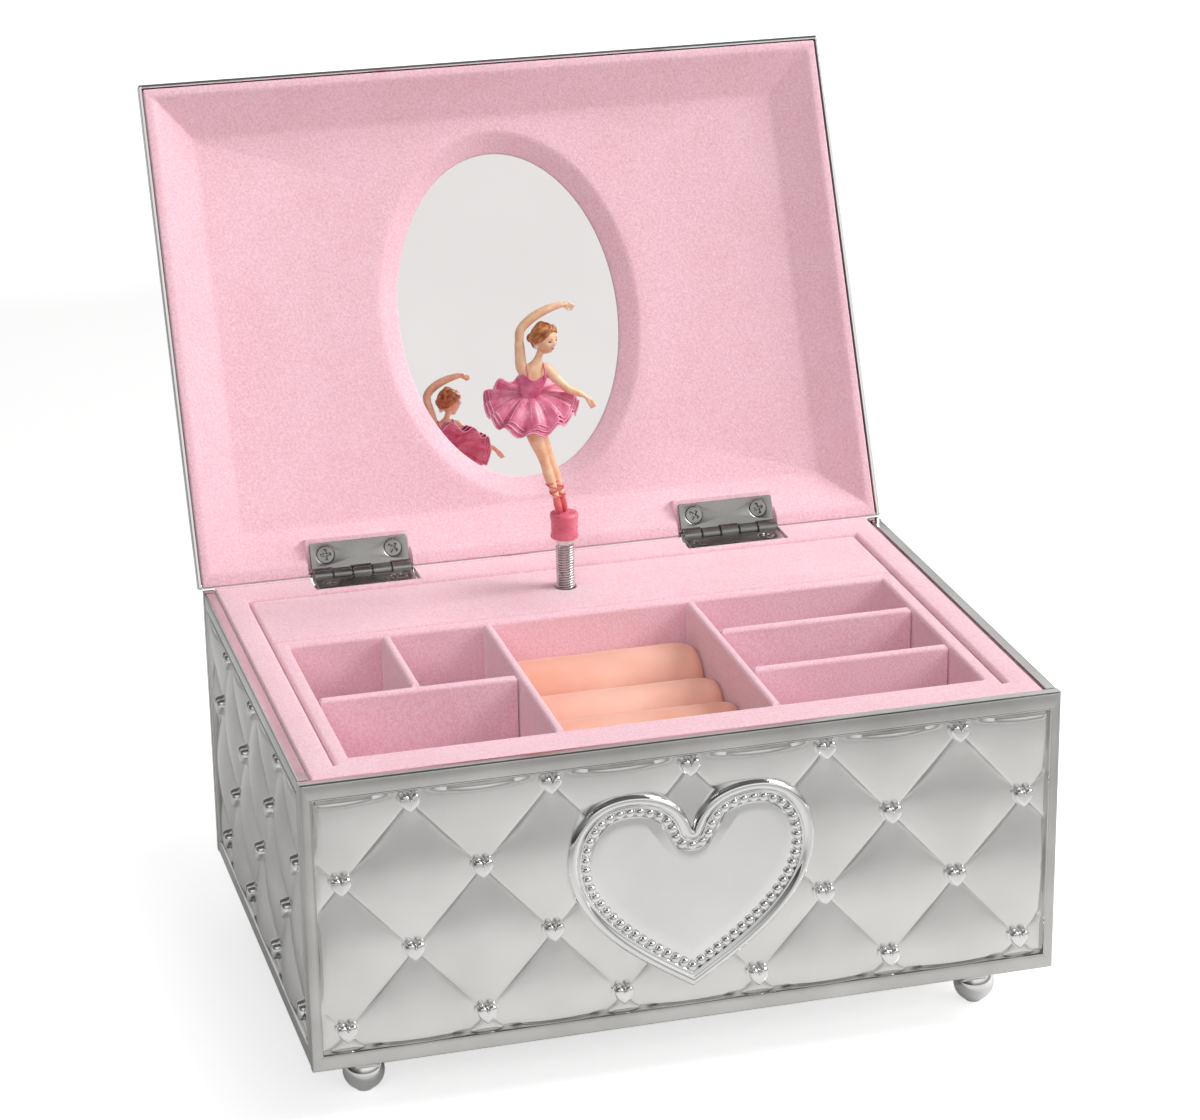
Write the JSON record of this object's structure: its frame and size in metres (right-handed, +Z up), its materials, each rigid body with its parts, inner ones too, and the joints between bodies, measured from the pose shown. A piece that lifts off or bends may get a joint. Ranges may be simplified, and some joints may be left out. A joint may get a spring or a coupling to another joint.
{
  "type": "ballerina jewellery box",
  "caption": "Quilted silver-plated jewellery box with hinged lid, oval mirror, flocked compartments, ring rolls and a wind-up musical movement that turns a dancer.",
  "frame": {"origin": "centre of the open box's bounding box, on the surface that the feet stand on", "axes": "+Z up, +X to the right seen from the front, the front with the heart faces -Y"},
  "size_m": [0.1714, 0.181, 0.1906],
  "materials": {
    "silver_plate": "satin silver plate, quilted",
    "polished_silver": "mirror-polished silver plate",
    "flock": "short velvet flocking",
    "satin": "smooth satin",
    "mirror_glass": "silvered glass",
    "dark_nickel": "dark nickel plate",
    "spring_steel": "bright drawn wire",
    "movement_steel": "plain steel",
    "movement_brass": "turned brass",
    "figure_paint": "hand-painted resin",
    "tutu_paint": "glossy painted resin",
    "cup_plastic": "moulded plastic"
  },
  "bodies": {
    "case": {"front_panel": "silver_plate", "back_panel": "silver_plate", "left_panel": "silver_plate", "right_panel": "silver_plate", "base_plate": "silver_plate", "heart_medallion": "polished_silver", "foot_front_left": "polished_silver", "foot_front_right": "polished_silver", "foot_rear_left": "polished_silver", "foot_rear_right": "polished_silver", "case_lining": "flock", "movement_platform": "flock", "tray_shell": "flock", "divider_left_rail": "flock", "divider_right_rail": "flock", "divider_left_cross": "flock", "divider_left_short": "flock", "divider_right_back": "flock", "divider_right_front": "flock", "ring_roll_1": "satin", "ring_roll_2": "satin", "ring_roll_3": "satin", "ring_roll_4": "satin", "hinge_leaf_case_left": "dark_nickel", "hinge_leaf_case_right": "dark_nickel", "hinge_pin_left": "dark_nickel", "hinge_pin_right": "dark_nickel", "hinge_screw_case_left_1": "dark_nickel", "hinge_screw_case_left_2": "dark_nickel", "hinge_screw_case_right_1": "dark_nickel", "hinge_screw_case_right_2": "dark_nickel", "movement_bedplate": "movement_steel", "comb": "movement_steel", "comb_screw_1": "movement_steel", "comb_screw_2": "movement_steel", "spring_barrel": "movement_steel", "mainspring": "spring_steel", "spindle_bush": "movement_brass"},
    "lid": {"lid_shell": "silver_plate", "lid_lining": "flock", "oval_mirror": "mirror_glass", "hinge_leaf_lid_left": "dark_nickel", "hinge_leaf_lid_right": "dark_nickel", "hinge_screw_lid_left_1": "dark_nickel", "hinge_screw_lid_left_2": "dark_nickel", "hinge_screw_lid_right_1": "dark_nickel", "hinge_screw_lid_right_2": "dark_nickel"},
    "neck": {"neck_spring": "spring_steel"},
    "figure": {"figure_cup": "cup_plastic", "ballerina_body": "figure_paint", "tutu_skirt": "tutu_paint"},
    "key_train": {"winding_key": "polished_silver", "winding_stem": "movement_steel", "great_wheel": "movement_brass"},
    "cylinder_train": {"cylinder": "movement_brass", "spindle_shaft": "spring_steel"},
    "governor": {"governor_fan": "movement_brass"}
  },
  "joints": [
    {"name": "lid_hinge", "type": "hinge", "parent": "case", "child": "lid", "pos_m": [0, 0.03117, 0.08005], "axis": [1, 0, 0], "range_deg": [0, 114.7]},
    {"name": "neck_fold", "type": "hinge", "parent": "case", "child": "neck", "pos_m": [-0.0015, 0.00887, 0.0845], "axis": [1, 0, 0], "range_deg": [0, 96], "deforming": ["neck_spring"]},
    {"name": "figure_turn", "type": "hinge", "parent": "neck", "child": "figure", "pos_m": [-0.0015, 0.00887, 0.0999], "axis": [0, 0, 1], "continuous": true},
    {"name": "key_turn", "type": "hinge", "parent": "case", "child": "key_train", "pos_m": [-0.0015, 0.00887, 0.0289], "axis": [0, 1, 0], "continuous": true},
    {"name": "cylinder_turn", "type": "hinge", "parent": "case", "child": "cylinder_train", "pos_m": [-0.0015, 0.00887, 0.0526], "axis": [0, 0, 1], "continuous": true},
    {"name": "governor_turn", "type": "hinge", "parent": "case", "child": "governor", "pos_m": [0.01065, 0.00887, 0.0526], "axis": [0, 0, 1], "continuous": true}
  ],
  "couplings": [
    {"joint": "neck_fold", "follows": "lid_hinge", "ratio": 0.83697},
    {"joint": "cylinder_turn", "follows": "key_turn", "ratio": 4},
    {"joint": "figure_turn", "follows": "key_turn", "ratio": 4},
    {"joint": "governor_turn", "follows": "key_turn", "ratio": -12}
  ]
}
